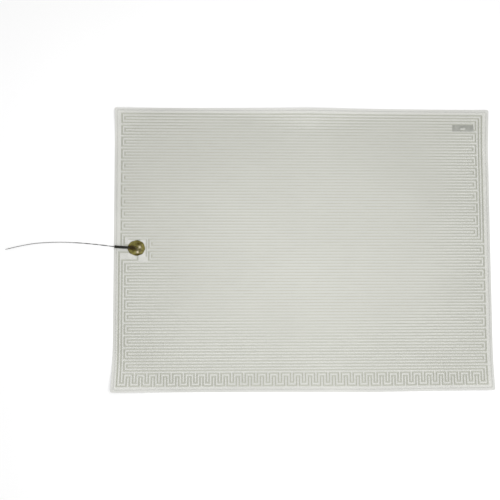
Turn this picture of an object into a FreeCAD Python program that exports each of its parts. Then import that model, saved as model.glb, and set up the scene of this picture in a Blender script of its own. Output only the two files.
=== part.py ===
import FreeCAD, Part
import math
import os

import Sketcher
from FreeCAD import Placement, Rotation, Vector

# Seedling heat mat: an etched-foil heater laminated between two clear polyester films.
# Frame: +Z up, +X along the long side, +Y along the short side, origin in the middle of
# the underside. All sizes are millimetres. The thin leads leave the short side at -X.

DRIVING_SIZES = {
    # the laminate, from the underside up
    "film_length": 400.0,            # long side of the base film
    "film_width": 300.0,             # short side of the base film
    "corner_radius": 2.0,            # cut corners of both films
    "base_film_thickness": 0.175,
    "adhesive_thickness": 0.05,      # hot-melt layer on each side of the foil
    "foil_thickness": 0.05,
    "cover_film_thickness": 0.125,
    "cover_inset": 2.2,              # base film showing round the cover film
    # the etched heating track, a pair of tracks side by side all the way
    "edge_margin": 6.2,              # least distance from a track's middle to the film's edge
    "row_pitch": 3.19,               # between the middles of level tracks
    "column_pitch": 3.15,            # between the middles of upright tracks
    "track_shift": -0.8,             # the etched pattern's middle, from the film's, along X
    "upper_inset": 2.1,              # the upper half's left turns, from the lower half's
    "track_width": 1.6,
    "guard_width": 1.0,              # thin track round two sides of the terminal window
    # the terminal, where the leads are soldered on and potted
    "terminal_inset": 23.9,          # from the film's left edge to the terminal's centre
    "window_side": 18.4,             # square window through the cover film
    "window_foot": 3.6,              # from the window down to the track that runs below it
    "pad_gap": 0.9,                  # between the foil's two square solder pads
    "dome_clearance": 0.2,           # resin to the window's sides
    "resin_over_sleeve": 1.375,      # resin over the sleeve, at the dome's crown
    "dome_shoulder": 1.7,            # upright rim of the dome, below its crown
    "solder_diameter": 2.7,
    "solder_height": 1.0,
    # the leads and their strain relief
    "wire_diameter": 0.4,            # over the insulation
    "conductor_diameter": 0.24,
    "wire_gap": 0.12,                # between the two wires, side by side
    "tip_length": 3.0,               # tinned ends beyond the insulation
    "sleeve_diameter": 2.85,
    "sleeve_wall": 0.35,
    "sleeve_length": 21.9,
    "sleeve_angle": 3.9,             # degrees from the -X direction, towards +Y
    "potting_clearance": 0.04,       # resin to what it holds
    "bore_clearance": 0.03,          # liner to the wires that run through it
    "floor_clearance": 0.02,         # wires above the surface that the mat lies on
    # the printed rating patch, left blank
    "patch_length": 22.8,
    "patch_width": 6.8,
    "patch_thickness": 0.02,
    "patch_right_inset": 27.0,       # from the film's right edge to the patch's centre
    "patch_top_inset": 20.3,         # from the film's top edge to the patch's centre
}

# Places of the two solder joints, from the terminal's centre.
UPPER_JOINT = Vector(3.0, 0.9, 0)
LOWER_JOINT = Vector(0.9, -4.4, 0)
# The sleeve's inner end, from the terminal's centre.
SLEEVE_END = Vector(-1.0, -0.2, 0)
# Where each wire's insulation is stripped, from the terminal's centre, with its height
# above the foil, and where each wire starts to fan out, ahead of the sleeve's inner end.
UPPER_STRIP = Vector(1.6, 0.6, 0.62)
LOWER_STRIP = Vector(0.6, -2.4, 0.62)
FAN_START = 0.8

# The free leads' route: X and Y from the sleeve's mouth, and the share of the sleeve's
# height above the resting surface that is left. They droop to the surface and lie on it.
LEAD_ROUTE = (
    (-6.0, 0.75, 0.86),
    (-16.6, 2.15, 0.0),
    (-32.8, 3.75, 0.0),
    (-46.0, 4.55, 0.0),
    (-57.2, 4.85, 0.0),
    (-70.8, 4.5, 0.0),
    (-83.4, 3.6, 0.0),
    (-94.8, 1.6, 0.0),
    (-103.6, -0.35, 0.0),
    (-110.6, -2.1, 0.0),
)
RUN_SHARE = 0.45                     # of the shorter run, taken up by a bend

# The bottom band is a square wave of the pair: its stroke and the clear row above it,
# in pitches.
BAND_STROKE = 3
BAND_GAP = 2

doc = FreeCAD.newDocument("seedling_heat_mat")
sheet = doc.addObject("Spreadsheet::Sheet", "Sizes")


def fill_sheet(values):
    """Adds one row per value: its name, and its number under an alias of that name."""
    first = len(sheet.getUsedCells()) // 2 + 1
    for row, (name, value) in enumerate(values.items(), first):
        sheet.set(f"A{row}", name)
        sheet.set(f"B{row}", str(value))
        sheet.setAlias(f"B{row}", name)
    doc.recompute()


def size(name):
    """Reads one value back from the sheet."""
    return float(sheet.get(name))


fill_sheet(DRIVING_SIZES)

# ---- the grid that the heating track follows -----------------------------------------
# Columns count to the right and rows count down, one pitch apart. The square wave needs
# a column count of 4n + 3, the lower half an even number of pair rows and the upper half
# an odd one, so that the pair leaves and comes back to the terminal at the left edge.
row_pitch, column_pitch = size("row_pitch"), size("column_pitch")
last_column = math.floor((size("film_length") - 2 * size("edge_margin")) / column_pitch)
last_column -= (last_column - 3) % 4
rows_that_fit = math.floor((size("film_width") - 2 * size("edge_margin")) / row_pitch) + 1
pair_rows = (rows_that_fit - BAND_STROKE - BAND_GAP) // 2
pair_rows -= (pair_rows + 1) % 2
upper_rows = pair_rows // 2 + (pair_rows // 2 + 1) % 2
lower_rows = pair_rows - upper_rows
last_row = 2 * pair_rows + BAND_STROKE + BAND_GAP - 1
seam_row = 2 * upper_rows


def column_x(column):
    return (column - last_column / 2) * column_pitch + size("track_shift")


def row_y(row):
    return (last_row / 2 - row) * row_pitch


fill_sheet({
    # levels of the layers
    "foil_level": size("base_film_thickness") + size("adhesive_thickness"),
    "foil_top": size("base_film_thickness") + size("adhesive_thickness")
    + size("foil_thickness"),
    "cover_level": size("base_film_thickness") + 2 * size("adhesive_thickness")
    + size("foil_thickness"),
    "film_top": size("base_film_thickness") + 2 * size("adhesive_thickness")
    + size("foil_thickness") + size("cover_film_thickness"),
    # the terminal's centre: its window hangs from the seam between the track's two halves
    "terminal_x": size("terminal_inset") - size("film_length") / 2,
    "terminal_y": row_y(seam_row) - size("window_side") / 2,
})

terminal = Vector(size("terminal_x"), size("terminal_y"), 0)
on_foil = terminal + Vector(0, 0, size("foil_top"))
wire_spacing = size("wire_diameter") + size("wire_gap")
sleeve_height = size("film_top") + size("sleeve_diameter") / 2
dome_diameter = size("window_side") - 2 * size("dome_clearance")
dome_height = (size("film_top") + size("sleeve_diameter") + size("resin_over_sleeve")
               - size("foil_top"))
pad_side = UPPER_JOINT.y - LOWER_JOINT.y - size("pad_gap")
sleeve_axis = Rotation(Vector(0, 0, 1), -size("sleeve_angle")).multVec(Vector(-1, 0, 0))
sleeve_side = Vector(0, 0, 1).cross(sleeve_axis) * -1
sleeve_inner = terminal + SLEEVE_END + Vector(0, 0, sleeve_height)
sleeve_mouth = sleeve_inner + sleeve_axis * size("sleeve_length")
sleeve_placement = Placement(sleeve_mouth, Rotation(Vector(1, 0, 0), sleeve_axis * -1))


# ---- helpers --------------------------------------------------------------------------
def new_body(label):
    body = doc.addObject("PartDesign::Body", label)
    body.Label = label
    return body


def new_sketch(body, name, role="XY_Plane"):
    """A sketch on one of its own body's origin planes."""
    sketch = body.newObject("Sketcher::SketchObject", name)
    plane = next(item for item in body.Origin.OriginFeatures if item.Role == role)
    sketch.AttachmentSupport = (plane, [""])
    sketch.MapMode = "FlatFace"
    return sketch


def bind(sketch, constraint, formula):
    """Adds a constraint whose value follows a formula of the sheet."""
    sketch.setExpression(f"Constraints[{sketch.addConstraint(constraint)}]", formula)


def centred_rectangle(sketch, length, width):
    """A rectangle about the sketch's origin, its two sides bound to formulas."""
    corners = [Vector(-1, -1, 0), Vector(1, -1, 0), Vector(1, 1, 0), Vector(-1, 1, 0)]
    for start, end in zip(corners, corners[1:] + corners[:1]):
        sketch.addGeometry(Part.LineSegment(start, end), False)
    for side in range(4):
        sketch.addConstraint(Sketcher.Constraint("Coincident", side, 2, (side + 1) % 4, 1))
    for side, direction in enumerate(("Horizontal", "Vertical") * 2):
        sketch.addConstraint(Sketcher.Constraint(direction, side))
    sketch.addConstraint(Sketcher.Constraint("Symmetric", 0, 1, 2, 1, -1, 1))
    bind(sketch, Sketcher.Constraint("DistanceX", 0, 1, 0, 2, 2.0), length)
    bind(sketch, Sketcher.Constraint("DistanceY", 1, 1, 1, 2, 2.0), width)


def circle(sketch, centre, diameter):
    """A circle at a fixed place, its diameter bound to a formula."""
    index = sketch.addGeometry(Part.Circle(centre, Vector(0, 0, 1), 1.0), False)
    bind(sketch, Sketcher.Constraint("Diameter", index, 2.0), diameter)
    return index


def pad(body, sketch, thickness):
    feature = body.newObject("PartDesign::Pad", f"{body.Name}_pad")
    feature.Profile = sketch
    feature.setExpression("Length", thickness)
    doc.recompute()
    return feature


def round_upright_edges(body, feature, radius, straight):
    """Rounds the upright edges that are as tall as the plate is thick."""
    names = [
        f"Edge{number}"
        for number, edge in enumerate(feature.Shape.Edges, 1)
        if abs(abs(edge.tangentAt(edge.FirstParameter).z) - 1) < 1e-6
        and abs(edge.Length - straight) < 1e-6
    ]
    fillet = body.newObject("PartDesign::Fillet", f"{body.Name}_corners")
    fillet.Base = (feature, names)
    fillet.setExpression("Radius", radius)
    doc.recompute()
    return fillet


def plate(label, length, width, thickness, level, radius=None):
    """A flat sheet about the Z axis, its underside at a level."""
    body = new_body(label)
    outline = new_sketch(body, f"{label}_outline")
    centred_rectangle(outline, length, width)
    feature = pad(body, outline, thickness)
    if radius:
        round_upright_edges(body, feature, radius, feature.Length.Value)
    body.setExpression("Placement.Base.z", level)
    return body


def cut_window(body):
    """Cuts the terminal's square window through a sheet."""
    before = body.Shape.Volume
    outline = new_sketch(body, f"{body.Name}_window_outline")
    centred_rectangle(outline, "Sizes.window_side", "Sizes.window_side")
    outline.setExpression("AttachmentOffset.Base.x", "Sizes.terminal_x")
    outline.setExpression("AttachmentOffset.Base.y", "Sizes.terminal_y")
    window = body.newObject("PartDesign::Pocket", f"{body.Name}_window")
    window.Profile = outline
    window.Type = "ThroughAll"
    window.Midplane = True
    doc.recompute()
    removed = (before - body.Shape.Volume) / (size("window_side") ** 2)
    if removed < 0.9 * size("adhesive_thickness"):
        raise RuntimeError(f"the window cut nothing from {body.Label}")


def keep_shape(label, shape):
    """A sub-part made with Part's own functions, for a shape that no feature gives."""
    feature = doc.addObject("Part::Feature", label)
    feature.Label = label
    feature.Shape = shape
    return feature


def bent_path(points, radii=None):
    """Straight runs joined by tangent arcs, each as large as its two runs allow."""
    edges = []
    start = points[0]
    for before, corner, after in zip(points, points[1:], points[2:]):
        back = (before - corner).normalize()
        ahead = (after - corner).normalize()
        run = RUN_SHARE * min((before - corner).Length, (after - corner).Length)
        turn = math.pi - back.getAngle(ahead)
        radius = run / math.tan(turn / 2)
        middle = (back + ahead).normalize() * (radius / math.cos(turn / 2) - radius)
        edges.append(Part.LineSegment(start, corner + back * run).toShape())
        edges.append(Part.Arc(corner + back * run, corner + middle,
                              corner + ahead * run).toShape())
        start = corner + ahead * run
        if radii is not None:
            radii.append(radius)
    edges.append(Part.LineSegment(start, points[-1]).toShape())
    return Part.Wire(edges)


def tube(points, diameter, radii=None):
    """A round solid along a bent path, its volume checked against section times length."""
    path = bent_path(points, radii)
    heading = points[1] - points[0]
    section = Part.Wire([Part.Circle(points[0], heading, diameter / 2).toShape()])
    sweep = Part.BRepOffsetAPI.MakePipeShell(path)
    sweep.add(section)
    sweep.build()
    sweep.makeSolid()
    solid = sweep.shape()
    expected = math.pi * diameter ** 2 / 4 * path.Length
    if abs(solid.Volume / expected - 1) > 0.01:
        raise RuntimeError(f"a tube holds {solid.Volume:.3f} mm3, not {expected:.3f}")
    return solid


def rod(start, end, diameter):
    return Part.makeCylinder(diameter / 2, (end - start).Length, start, end - start)


# ---- the heating track ----------------------------------------------------------------
def pair_centreline():
    """The line midway between the two tracks, from one end of the terminal to the other."""
    first_column, bottom = 0.5, last_row - 0.5
    line = [(column_x(first_column), row_y(seam_row + BAND_GAP)),
            (column_x(first_column), row_y(bottom))]
    # the band: up, across, down and on, once every four columns
    for crenel in range((last_column - 3) // 4):
        rise, fall = 4 * crenel + 2.5, 4 * crenel + 4.5
        line += [(column_x(rise), row_y(bottom)),
                 (column_x(rise), row_y(bottom - BAND_STROKE)),
                 (column_x(fall), row_y(bottom - BAND_STROKE)),
                 (column_x(fall), row_y(bottom))]
    right = column_x(last_column - 0.5)
    line.append((right, row_y(bottom)))
    # the lower half climbs to the seam; its last turns stop short of the terminal
    lowest = bottom - BAND_STROKE - BAND_GAP
    rows_beside_window = 2 * math.ceil((size("window_side") / row_pitch + 1.5) / 4)
    for turn in range(0, lower_rows, 2):
        beside = lower_rows - turn <= rows_beside_window
        left = column_x(2.5)
        if beside:
            left = size("terminal_x") + size("window_side") / 2 + 1.6 * column_pitch
        line += [(right, row_y(lowest - 2 * turn)), (left, row_y(lowest - 2 * turn)),
                 (left, row_y(lowest - 2 * turn - 2)), (right, row_y(lowest - 2 * turn - 2))]
    # up the right side to the top, and down the upper half
    left = column_x(first_column) + size("upper_inset")
    right_turn = column_x(last_column - 2.5)
    line.append((right, row_y(0.5)))
    for turn in range(0, upper_rows - 1, 2):
        top = 0.5 + 2 * turn
        line += [(left, row_y(top)), (left, row_y(top + 2)),
                 (right_turn, row_y(top + 2)), (right_turn, row_y(top + 4))]
    line += [(left, row_y(seam_row - 1.5)), (left, row_y(seam_row + 1))]
    return [Vector(x, y, 0) for x, y in line]


def shifted(line, across, level=None):
    """A square-cornered line moved to its left, with mitred corners. Its upright sides
    move by the first distance and its level sides by the second, or all by the first."""
    level = across if level is None else level
    sides = []
    for start, end in zip(line, line[1:]):
        along = (end - start).normalize()
        sides.append(Vector(-along.y * across, along.x * level, 0))
    moved = [line[0] + sides[0]]
    moved += [point + before + after for point, before, after in zip(line[1:], sides, sides[1:])]
    moved.append(line[-1] + sides[-1])
    return moved


def strip(line, width):
    """A flat strip of foil along a square-cornered line."""
    outline = shifted(line, width / 2) + shifted(line, -width / 2)[::-1]
    face = Part.Face(Part.makePolygon(outline + outline[:1]))
    return face.extrude(Vector(0, 0, size("foil_thickness")))


def solder_pad(joint):
    corner = terminal + joint - Vector(pad_side / 2, pad_side / 2, 0)
    return Part.makeBox(pad_side, pad_side, size("foil_thickness"), corner)


def make_heating_foil():
    """Both tracks, the two solder pads and the guard track, as one etched piece."""
    middle = pair_centreline()
    half_window = size("window_side") / 2
    upper, lower = terminal + UPPER_JOINT, terminal + LOWER_JOINT
    foot = terminal.y - half_window - size("window_foot")
    # going down the left edge, the track nearer the mat's middle is on the left hand
    inner = shifted(middle, column_pitch / 2, row_pitch / 2)
    outer = shifted(middle, -column_pitch / 2, -row_pitch / 2)
    inner[0] = Vector(inner[0].x, foot, 0)
    inner[:0] = [lower, Vector(lower.x, foot, 0)]
    outer[0] = Vector(outer[0].x, lower.y, 0)
    outer[:0] = [lower]
    inner[-1] = Vector(inner[-1].x, terminal.y + row_pitch, 0)
    inner.append(Vector(upper.x, terminal.y + row_pitch, 0))
    outer[-1] = Vector(outer[-1].x, terminal.y, 0)
    outer.append(Vector(upper.x, terminal.y, 0))
    guard_x = terminal.x + half_window + 0.25 * column_pitch
    guard = [Vector(terminal.x - half_window, terminal.y + half_window, 0),
             Vector(guard_x, terminal.y + half_window, 0),
             Vector(guard_x, terminal.y - half_window, 0)]
    guard_feed = [upper, Vector(upper.x, terminal.y + half_window, 0)]
    foil = strip(inner, size("track_width")).fuse([
        strip(outer, size("track_width")),
        strip(guard, size("guard_width")),
        strip(guard_feed, size("guard_width")),
        solder_pad(UPPER_JOINT),
        solder_pad(LOWER_JOINT),
    ]).removeSplitter()
    feature = keep_shape("heating_foil", foil.Solids[0])
    feature.setExpression("Placement.Base.z", "Sizes.foil_level")
    if len(foil.Solids) != 1:
        raise RuntimeError("the heating foil came apart")


# ---- the laminate ---------------------------------------------------------------------
def make_films():
    cover_length = "Sizes.film_length - 2 * Sizes.cover_inset"
    cover_width = "Sizes.film_width - 2 * Sizes.cover_inset"
    plate("base_film", "Sizes.film_length", "Sizes.film_width",
          "Sizes.base_film_thickness", "0 mm", "Sizes.corner_radius")
    plate("base_adhesive", cover_length, cover_width,
          "Sizes.adhesive_thickness", "Sizes.base_film_thickness", "Sizes.corner_radius")
    cut_window(plate("cover_adhesive", cover_length, cover_width,
                     "Sizes.adhesive_thickness", "Sizes.foil_top", "Sizes.corner_radius"))
    cover = plate("cover_film", cover_length, cover_width,
                  "Sizes.cover_film_thickness", "Sizes.cover_level", "Sizes.corner_radius")
    cut_window(cover)


def make_rating_patch():
    patch = plate("rating_patch", "Sizes.patch_length", "Sizes.patch_width",
                  "Sizes.patch_thickness", "Sizes.film_top")
    patch.setExpression("Placement.Base.x", "Sizes.film_length / 2 - Sizes.patch_right_inset")
    patch.setExpression("Placement.Base.y", "Sizes.film_width / 2 - Sizes.patch_top_inset")


# ---- the leads and their strain relief -------------------------------------------------
def make_sleeve():
    """The heat-shrink sleeve, and the hot-melt liner that holds both wires in it."""
    bore = "Sizes.sleeve_diameter - 2 * Sizes.sleeve_wall"
    sleeve = new_body("heat_shrink_sleeve")
    ring = new_sketch(sleeve, "sleeve_ring", "YZ_Plane")
    circle(ring, Vector(), "Sizes.sleeve_diameter")
    circle(ring, Vector(), bore)
    pad(sleeve, ring, "Sizes.sleeve_length")
    sleeve.Placement = sleeve_placement
    liner = new_body("sleeve_liner")
    plug = new_sketch(liner, "liner_plug", "YZ_Plane")
    circle(plug, Vector(), bore)
    for side in (-1, 1):
        circle(plug, Vector(side * wire_spacing / 2, 0, 0),
               "Sizes.wire_diameter + 2 * Sizes.bore_clearance")
    pad(liner, plug, "Sizes.sleeve_length")
    liner.Placement = sleeve_placement


def core_points(side, strip_point):
    """From the sleeve's mouth, through the liner, to where the insulation is stripped."""
    offset = sleeve_side * (side * wire_spacing / 2)
    fan = sleeve_inner - sleeve_axis * FAN_START
    return [sleeve_mouth + offset, fan + offset, on_foil + strip_point]


def lead_points(side):
    """The free route of one wire, from the sleeve's mouth to its tinned tip."""
    resting = size("wire_diameter") / 2 + size("floor_clearance")
    offset = sleeve_side * (side * wire_spacing / 2)
    points = [sleeve_mouth + offset]
    for x, y, height_share in LEAD_ROUTE:
        height = resting + height_share * (sleeve_height - resting)
        points.append(Vector(sleeve_mouth.x + x, sleeve_mouth.y + y, height) + offset)
    return points


def make_wire(name, side, strip_point, joint):
    """One wire: its core in the terminal, its bare end, its free lead and its tinned tip."""
    core = core_points(side, strip_point)
    bare_end = on_foil + joint + Vector(0, 0, size("conductor_diameter"))
    keep_shape(f"{name}_core", tube(core, size("wire_diameter")))
    keep_shape(f"{name}_bare_end", rod(core[-1], bare_end, size("conductor_diameter")))
    lead = lead_points(side)
    radii = []
    keep_shape(f"{name}_lead", tube(lead, size("wire_diameter"), radii))
    print(name, "lead bends at radii of", [round(radius, 1) for radius in radii])
    heading = (lead[-1] - lead[-2]).normalize()
    keep_shape(f"{name}_tinned_tip", rod(lead[-1], lead[-1] + heading * size("tip_length"),
                                         size("conductor_diameter")))


# ---- the soldered and potted terminal --------------------------------------------------
def solder_bead(joint, clearance=0.0):
    """A domed bead on its pad: a quarter ellipse turned about the joint's own axis."""
    radius, height = size("solder_diameter") / 2 + clearance, size("solder_height") + clearance
    ball = Part.makeSphere(1.0, Vector(), Vector(0, 0, 1), 0, 90, 360)
    stretch = FreeCAD.Matrix()
    stretch.scale(radius, radius, height)
    bead = ball.transformGeometry(stretch)
    bead.translate(on_foil + joint)
    return bead


def make_solder_joint(name, strip_point, joint):
    """The bead, with its bore for the bare end that it holds."""
    bare_end = on_foil + joint + Vector(0, 0, size("conductor_diameter"))
    bore = rod(on_foil + strip_point, bare_end,
               size("conductor_diameter") + 2 * size("bore_clearance"))
    keep_shape(f"{name}_solder_joint", solder_bead(joint).cut(bore))


def make_potting_dome():
    """A round button of resin: an upright rim under a low crown, round all that it holds."""
    blank = new_body("dome_blank")
    half = new_sketch(blank, "dome_half", "XZ_Plane")
    radius, shoulder = dome_diameter / 2, size("dome_shoulder")
    foot, rim = Vector(radius, 0, 0), Vector(radius, shoulder, 0)
    crown = Vector(0, dome_height, 0)
    rise = dome_height - shoulder
    crown_radius = (radius ** 2 + rise ** 2) / (2 * rise)
    shoulder_angle = math.asin(radius / crown_radius)
    on_crown = Vector(crown_radius * math.sin(shoulder_angle / 2),
                      dome_height - crown_radius * (1 - math.cos(shoulder_angle / 2)), 0)
    half.addGeometry([Part.LineSegment(Vector(), foot), Part.LineSegment(foot, rim),
                      Part.Arc(rim, on_crown, crown), Part.LineSegment(crown, Vector())], False)
    turned = blank.newObject("PartDesign::Revolution", "dome_turned")
    turned.Profile = half
    turned.ReferenceAxis = (half, ["V_Axis"])
    turned.Angle = 360
    doc.recompute()
    blank.Placement = Placement(on_foil, Rotation())
    clearance = size("potting_clearance")
    held = [rod(sleeve_inner, sleeve_inner + sleeve_axis * dome_diameter,
                size("sleeve_diameter") + 2 * clearance)]
    for side, strip_point, joint in ((1, UPPER_STRIP, UPPER_JOINT),
                                     (-1, LOWER_STRIP, LOWER_JOINT)):
        core = core_points(side, strip_point)
        held.append(tube(core, size("wire_diameter") + 2 * clearance))
        bare_end = on_foil + joint + Vector(0, 0, size("conductor_diameter"))
        held.append(rod(core[-1], bare_end, size("conductor_diameter") + 2 * clearance))
        held.append(solder_bead(joint, clearance))
    cavity = keep_shape("potting_cavity", held[0].fuse(held[1:]))
    dome = doc.addObject("Part::Cut", "potting_dome")
    dome.Label = "potting_dome"
    dome.Base = blank
    dome.Tool = cavity


SUB_PARTS = (
    "base_film", "base_adhesive", "heating_foil", "cover_adhesive", "cover_film",
    "rating_patch", "heat_shrink_sleeve", "sleeve_liner", "potting_dome",
    "upper_solder_joint", "lower_solder_joint", "upper_bare_end", "lower_bare_end",
    "upper_core", "lower_core", "upper_lead", "lower_lead",
    "upper_tinned_tip", "lower_tinned_tip",
)


def export_sub_parts():
    """Checks every object and every sub-part's solid, then writes one file for each."""
    doc.recompute()
    failed = [item.Label for item in doc.Objects
              if {"Invalid", "Error"} & set(item.State)]
    if failed:
        raise RuntimeError(f"these did not build: {failed}")
    chosen = [doc.getObjectsByLabel(label)[0] for label in SUB_PARTS]
    for item in chosen:
        if item.Shape.isNull() or not item.Shape.isValid() or len(item.Shape.Solids) != 1:
            raise RuntimeError(f"{item.Label} has no single valid solid")
    os.makedirs("parts", exist_ok=True)
    for item in chosen:
        item.Shape.exportStep(f"parts/{item.Label}.step")
        print(f"{item.Label}: {item.Shape.Volume:.3f} mm3")


make_films()
make_heating_foil()
make_rating_patch()
make_sleeve()
make_wire("upper", 1, UPPER_STRIP, UPPER_JOINT)
make_wire("lower", -1, LOWER_STRIP, LOWER_JOINT)
make_solder_joint("upper", UPPER_STRIP, UPPER_JOINT)
make_solder_joint("lower", LOWER_STRIP, LOWER_JOINT)
make_potting_dome()
export_sub_parts()
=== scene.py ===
"""The looks of a seedling heat mat: an etched-foil heater between two clear films.

The mat lies loose on a plain floor. Its long edges ripple and its corners curl a little,
so the films, the foil and the printed patch are all laid over one shared surface. The
terminal stays flat: its resin button, solder joints, sleeve and wires sit where the
frame has them, and the pair of fine leads runs off to the left.
"""
import logging
import math
from dataclasses import dataclass, field
from enum import Enum

import bpy
import numpy as np
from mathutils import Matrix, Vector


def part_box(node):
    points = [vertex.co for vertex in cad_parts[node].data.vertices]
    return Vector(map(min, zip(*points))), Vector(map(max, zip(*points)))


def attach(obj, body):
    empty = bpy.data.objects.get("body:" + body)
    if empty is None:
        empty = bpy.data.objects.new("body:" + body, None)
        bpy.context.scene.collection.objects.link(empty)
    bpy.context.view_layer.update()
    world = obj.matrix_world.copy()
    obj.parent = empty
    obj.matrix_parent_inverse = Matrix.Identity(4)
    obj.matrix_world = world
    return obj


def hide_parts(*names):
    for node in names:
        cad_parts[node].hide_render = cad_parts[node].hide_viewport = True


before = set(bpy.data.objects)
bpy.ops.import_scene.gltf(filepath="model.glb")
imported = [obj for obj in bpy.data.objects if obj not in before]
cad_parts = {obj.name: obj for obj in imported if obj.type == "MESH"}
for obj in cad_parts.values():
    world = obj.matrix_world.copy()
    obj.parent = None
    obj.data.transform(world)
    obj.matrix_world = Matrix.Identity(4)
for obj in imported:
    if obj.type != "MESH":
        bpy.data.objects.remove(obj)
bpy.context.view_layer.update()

BODY = "root"
MM = 0.001
LAYER_GAP = 0.008 * MM
DOME_CLEARANCE = 0.2 * MM
SAME_PLACE = 1e-9

Array = np.ndarray
Colour = tuple[float, float, float]
Stretch = tuple[float, float, float]
Mesh = tuple[Array, list[Array]]
Piece = bpy.types.Object
log = logging.getLogger("seedling_heat_mat")


# ---- surfaces -------------------------------------------------------------------------
def slab(x: Array, y: Array, low: Array, high: Array, kept: Array) -> Mesh:
    """Closes two grids of points into one thin solid with upright walls.

    Both faces are grids over the same x and y; every kept cell gives one quad above and
    one below, and a wall stands on each edge between a kept cell and an empty one.

    Args:
        x, y: Plan positions of the grid points, rows running with y and columns with x.
        low, high: Heights of the lower and the upper face.
        kept: One flag per cell, false where the sheet is cut away.

    Returns:
        The vertices and the faces, without the points that no face uses.
    """
    rows, columns = x.shape
    count = rows * columns
    index = np.arange(count).reshape(rows, columns)
    near_left, near_right = index[:-1, :-1], index[:-1, 1:]
    far_right, far_left = index[1:, 1:], index[1:, :-1]
    faces = [
        np.stack([near_left, near_right, far_right, far_left], -1)[kept] + count,
        np.stack([near_left, far_left, far_right, near_right], -1)[kept],
    ]
    edged = np.pad(kept, 1)
    level_edges = (edged[:-1, 1:-1], edged[1:, 1:-1], index[:, :-1], index[:, 1:])
    upright_edges = (edged[1:-1, 1:], edged[1:-1, :-1], index[:-1], index[1:])
    for before, after, first, second in (level_edges, upright_edges):
        faces.append(np.stack([second + count, first + count, first, second], -1)[after & ~before])
        faces.append(np.stack([first + count, second + count, second, first], -1)[before & ~after])
    corners = np.concatenate(faces)
    vertices = np.concatenate([
        np.stack([x, y, low], -1).reshape(-1, 3), np.stack([x, y, high], -1).reshape(-1, 3)])
    used, corners = np.unique(corners, return_inverse=True)
    return vertices[used], [corners.reshape(-1, 4)]


def circle(sides: int) -> Array:
    """Even angles round a full turn, the first at nought."""
    return np.linspace(0, 2 * math.pi, sides, endpoint=False)


def ring_faces(rings: int, sides: int) -> Array:
    """Quads between rings of points that follow one another, each ring closed on itself.

    Args:
        rings: How many rings there are.
        sides: Points round each ring.

    Returns:
        One row of four point numbers per quad.
    """
    index = np.arange(rings * sides).reshape(rings, sides)
    onward = np.roll(index, -1, axis=1)
    return np.stack([index[:-1], onward[:-1], onward[1:], index[1:]], -1).reshape(-1, 4)


def fan_faces(ring: Array, pole: int, outward: bool) -> Array:
    """Triangles from a ring to a pole, turned over where the ring runs the other way.

    Args:
        ring: The ring's point numbers, in order.
        pole: The pole's point number.
        outward: Which way round the triangles run.

    Returns:
        One row of three point numbers per triangle.
    """
    onward = np.roll(ring, -1)
    pair = (onward, ring) if outward else (ring, onward)
    return np.stack([*pair, np.full_like(ring, pole)], -1)


def tube(path: Array, radius: Array, sides: int) -> Mesh:
    """Carries a circle along a path: path + radius times (side cos a + up sin a).

    Args:
        path: Points of the centreline, none of its runs upright.
        radius: One radius per point, or one per point and side.
        sides: Points round the circle.

    Returns:
        A closed tube with a fan at each end.
    """
    along = np.gradient(path, axis=0)
    along /= np.linalg.norm(along, axis=1, keepdims=True)
    side = np.cross(along, [0.0, 0.0, 1.0])
    side /= np.linalg.norm(side, axis=1, keepdims=True)
    up = np.cross(side, along)
    turn = circle(sides)
    reach = np.broadcast_to(np.asarray(radius, float).reshape(len(path), -1),
                            (len(path), sides))[..., None]
    rings = path[:, None] + reach * (side[:, None] * np.cos(turn)[None, :, None]
                                     + up[:, None] * np.sin(turn)[None, :, None])
    vertices = np.concatenate([rings.reshape(-1, 3), path[:1], path[-1:]])
    count = len(path) * sides
    first, last = np.arange(sides), np.arange(count - sides, count)
    return vertices, [ring_faces(len(path), sides)[:, ::-1], fan_faces(first, count, False),
                      fan_faces(last, count + 1, True)]


def dome(x: Array, y: Array, z: Array, foot: tuple[float, float, float]) -> Mesh:
    """Closes a grid of rings, from the foot ring up to the crown point, with a flat base.

    Args:
        x, y, z: Rings of points, the first at the foot and the last all at the crown.
        foot: The middle of the base.

    Returns:
        The closed solid.
    """
    rings, sides = x.shape
    points = np.stack([x, y, z], -1)
    vertices = np.concatenate([points[:-1].reshape(-1, 3), points[-1:, 0], [foot]])
    count = (rings - 1) * sides
    return vertices, [ring_faces(rings - 1, sides),
                      fan_faces(np.arange(count - sides, count), count, False),
                      fan_faces(np.arange(sides), count + 1, True)]


def joined(meshes: list[Mesh]) -> Mesh:
    """Puts several meshes into one, their faces renumbered.

    Args:
        meshes: The meshes, in the order that their points take.

    Returns:
        The one mesh.
    """
    starts = np.cumsum([0] + [len(vertices) for vertices, _ in meshes])
    faces = [part + start for (_, parts), start in zip(meshes, starts) for part in parts]
    return np.concatenate([vertices for vertices, _ in meshes]), faces


def make_piece(name: str, mesh: Mesh, material: bpy.types.Material,
               crease: float = 35.0) -> Piece:
    """Makes an object of a mesh, smooth but for edges sharper than the crease angle.

    Args:
        name: The object's name.
        mesh: Its points and faces.
        material: Its only material.
        crease: The least angle of a sharp edge, in degrees.

    Returns:
        The object, linked to the scene.
    """
    vertices, faces = mesh
    data = bpy.data.meshes.new(name)
    data.from_pydata(vertices.tolist(), [], [face for part in faces for face in part.tolist()])
    data.update()
    data.shade_smooth()
    data.set_sharp_from_angle(angle=math.radians(crease))
    data.materials.append(material)
    piece = bpy.data.objects.new(name, data)
    bpy.context.scene.collection.objects.link(piece)
    return piece


def points_of(piece: Piece) -> Array:
    """Reads the points of a piece's mesh.

    Args:
        piece: The piece.

    Returns:
        One row of three coordinates per point.
    """
    places = np.empty(len(piece.data.vertices) * 3)
    piece.data.vertices.foreach_get("co", places)
    return places.reshape(-1, 3)


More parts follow.
